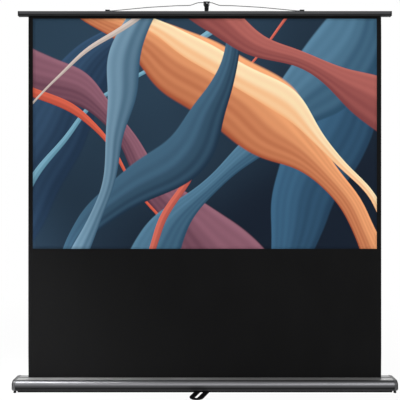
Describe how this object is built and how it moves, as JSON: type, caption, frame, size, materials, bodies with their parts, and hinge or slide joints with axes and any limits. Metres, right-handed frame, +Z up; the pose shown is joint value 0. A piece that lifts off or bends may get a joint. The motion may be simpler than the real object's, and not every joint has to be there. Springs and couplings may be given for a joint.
{
  "type": "portable projection screen",
  "caption": "Pull-up projection screen: a floor case with a spring roller, a slim top bar hung by a wire on a folding telescopic mast, and a ring foot.",
  "frame": {"origin": "on the floor, under the middle of the object's box", "axes": "+Z up, the viewing surface faces -Y, +X along the case to the right as the viewer sees it"},
  "size_m": [2.204, 0.3208, 2.2696],
  "materials": {
    "case_aluminium": "satin",
    "bar_aluminium": "satin",
    "mast_steel": "satin",
    "bright_steel": "satin",
    "dark_wire": "satin",
    "cap_grey": "satin",
    "black_plastic": "matte",
    "black_paint": "satin",
    "white_plastic": "matte",
    "black_rubber": "matte",
    "black_fabric": "matte",
    "white_screen": "matte",
    "black_felt": "matte"
  },
  "bodies": {
    "case": {"case_extrusion": "case_aluminium", "left_end_cap": "cap_grey", "right_end_cap": "cap_grey", "left_end_bumper": "black_plastic", "right_end_bumper": "black_plastic", "cap_screws": "bright_steel", "end_feet": "black_rubber", "base_rail": "black_paint", "rail_screws": "bright_steel", "slot_felt_front": "black_felt", "slot_felt_rear": "black_felt", "left_roller_bracket": "bright_steel", "right_roller_bracket": "bright_steel", "roller_bracket_screws": "bright_steel", "roller_bushes": "white_plastic", "idler_pin": "bright_steel", "spring_shaft": "bright_steel", "spring_anchor": "bright_steel", "torsion_spring": "bright_steel", "fabric_sheet": "black_fabric", "viewing_surface": "white_screen", "mast_bracket": "black_paint", "mast_bracket_screws": "bright_steel", "pivot_bolt": "bright_steel", "pivot_nut": "bright_steel", "pivot_washers": "white_plastic", "mast_clip": "black_plastic", "mast_clip_screws": "bright_steel", "foot_pivot_bolt": "bright_steel", "foot_pivot_spacer": "black_plastic", "foot_pivot_nut": "bright_steel"},
    "roller": {"roller_tube": "bar_aluminium", "roller_idler_plug": "white_plastic", "roller_spring_plug": "white_plastic", "fabric_wraps": "black_fabric"},
    "screen_bar": {"top_bar": "bar_aluminium", "left_bar_cap": "black_plastic", "right_bar_cap": "black_plastic", "hem_clamp_strips": "black_plastic", "hem_rod": "bright_steel", "wire_anchors": "black_plastic", "anchor_screws": "bright_steel"},
    "lift_bail": {"lift_wire": "dark_wire"},
    "mast_lower": {"mast_lower_tube": "mast_steel", "mast_base_plug": "black_plastic"},
    "lower_lock": {"lower_lock_collar": "black_plastic"},
    "mast_middle": {"mast_middle_tube": "mast_steel", "middle_slide_plug": "white_plastic"},
    "upper_lock": {"upper_lock_collar": "black_plastic"},
    "mast_top": {"mast_top_tube": "mast_steel", "top_slide_plug": "white_plastic", "mast_hook": "black_plastic", "hook_pin": "bright_steel"},
    "swivel_foot": {"swivel_foot_ring": "black_paint", "swivel_foot_pads": "black_rubber"}
  },
  "joints": [
    {"name": "screen_drop", "type": "slide", "parent": "case", "child": "screen_bar", "axis": [0, 0, -1], "range_m": [0, 2.099], "deforming": ["fabric_sheet", "viewing_surface", "lift_wire"]},
    {"name": "roller_spin", "type": "hinge", "parent": "case", "child": "roller", "pos_m": [0, -0.0205, 0.043], "axis": [-1, 0, 0], "range_deg": [0, 5235]},
    {"name": "bail_fold", "type": "hinge", "parent": "screen_bar", "child": "lift_bail", "pos_m": [0, 0, 2.2046], "axis": [1, 0, 0], "range_deg": [0, 100]},
    {"name": "mast_fold", "type": "hinge", "parent": "case", "child": "mast_lower", "pos_m": [0.011, 0.061, 0.096], "axis": [0, 1, 0], "range_deg": [0, 90]},
    {"name": "lower_lock_turn", "type": "hinge", "parent": "mast_lower", "child": "lower_lock", "pos_m": [0.011, 0.061, 0.84], "axis": [0, 0, 1], "range_deg": [0, 90]},
    {"name": "mast_middle_slide", "type": "slide", "parent": "mast_lower", "child": "mast_middle", "axis": [0, 0, -1], "range_m": [0, 0.64]},
    {"name": "upper_lock_turn", "type": "hinge", "parent": "mast_middle", "child": "upper_lock", "pos_m": [0.011, 0.061, 1.54], "axis": [0, 0, 1], "range_deg": [0, 90]},
    {"name": "mast_top_slide", "type": "slide", "parent": "mast_middle", "child": "mast_top", "axis": [0, 0, -1], "range_m": [0, 0.64]},
    {"name": "foot_swivel", "type": "hinge", "parent": "case", "child": "swivel_foot", "pos_m": [0, 0, 0.0032], "axis": [0, 0, -1], "range_deg": [-21, 69]}
  ],
  "couplings": [
    {"joint": "roller_spin", "follows": "screen_drop", "rad_per_m": 43.5}
  ]
}
